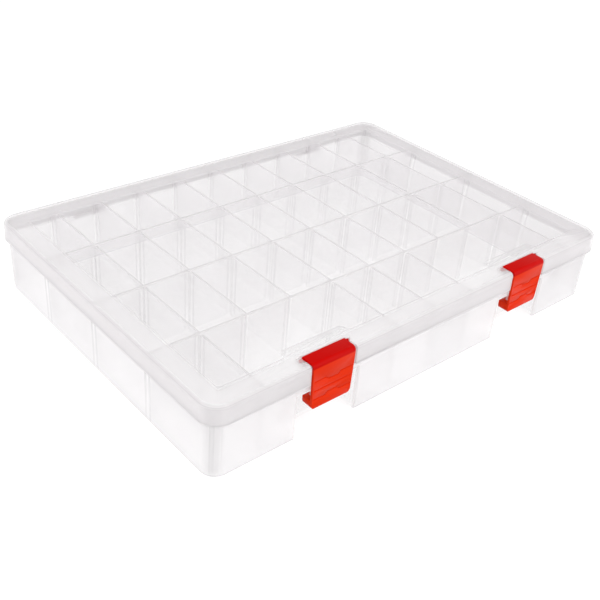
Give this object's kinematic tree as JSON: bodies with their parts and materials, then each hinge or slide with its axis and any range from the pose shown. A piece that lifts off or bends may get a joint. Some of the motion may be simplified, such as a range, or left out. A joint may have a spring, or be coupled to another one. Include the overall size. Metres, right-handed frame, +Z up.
{
  "type": "compartment storage box",
  "caption": "Flat clear plastic box for beads and small parts: a tray with rows of lift-out dividers, one hinged lid with a sunken panel, and snap latches along the front.",
  "frame": {"origin": "middle of the tray's underside", "axes": "+Z up through the lid, +X along the front from the left latch to the right one, -Y out of the front with the latches"},
  "size_m": [0.348, 0.2521, 0.0514],
  "materials": {
    "clear_tray": "milky clear, smooth",
    "clear_lid": "milky clear with a frosted rim",
    "clear_divider": "milky clear, smooth",
    "latch_plastic": "orange-red, satin"
  },
  "bodies": {
    "base": {"base_tray": "clear_tray", "divider_r1_s1": "clear_divider", "divider_r1_s4": "clear_divider", "divider_r1_s5": "clear_divider", "divider_r1_s6": "clear_divider", "divider_r1_s9": "clear_divider", "divider_r2_s1": "clear_divider", "divider_r2_s2": "clear_divider", "divider_r2_s3": "clear_divider", "divider_r2_s4": "clear_divider", "divider_r2_s5": "clear_divider", "divider_r2_s6": "clear_divider", "divider_r2_s7": "clear_divider", "divider_r2_s8": "clear_divider", "divider_r2_s9": "clear_divider", "divider_r3_s1": "clear_divider", "divider_r3_s2": "clear_divider", "divider_r3_s3": "clear_divider", "divider_r3_s4": "clear_divider", "divider_r3_s5": "clear_divider", "divider_r3_s6": "clear_divider", "divider_r3_s7": "clear_divider", "divider_r3_s8": "clear_divider", "divider_r3_s9": "clear_divider", "divider_r4_s1": "clear_divider", "divider_r4_s2": "clear_divider", "divider_r4_s3": "clear_divider", "divider_r4_s4": "clear_divider", "divider_r4_s5": "clear_divider", "divider_r4_s6": "clear_divider", "divider_r4_s7": "clear_divider", "divider_r4_s8": "clear_divider", "divider_r4_s9": "clear_divider"},
    "lid": {"lid": "clear_lid"},
    "latch_left": {"latch_left": "latch_plastic"},
    "latch_right": {"latch_right": "latch_plastic"}
  },
  "joints": [
    {"name": "lid_hinge", "type": "hinge", "parent": "base", "child": "lid", "pos_m": [0, 0.1252, 0.0352], "axis": [-1, 0, 0], "range_deg": [0, 180]},
    {"name": "latch_left_pivot", "type": "hinge", "parent": "lid", "child": "latch_left", "pos_m": [-0.0885, -0.1151, 0.0498], "axis": [-1, 0, 0], "range_deg": [0, 100]},
    {"name": "latch_right_pivot", "type": "hinge", "parent": "lid", "child": "latch_right", "pos_m": [0.0885, -0.1151, 0.0498], "axis": [-1, 0, 0], "range_deg": [0, 100]}
  ]
}
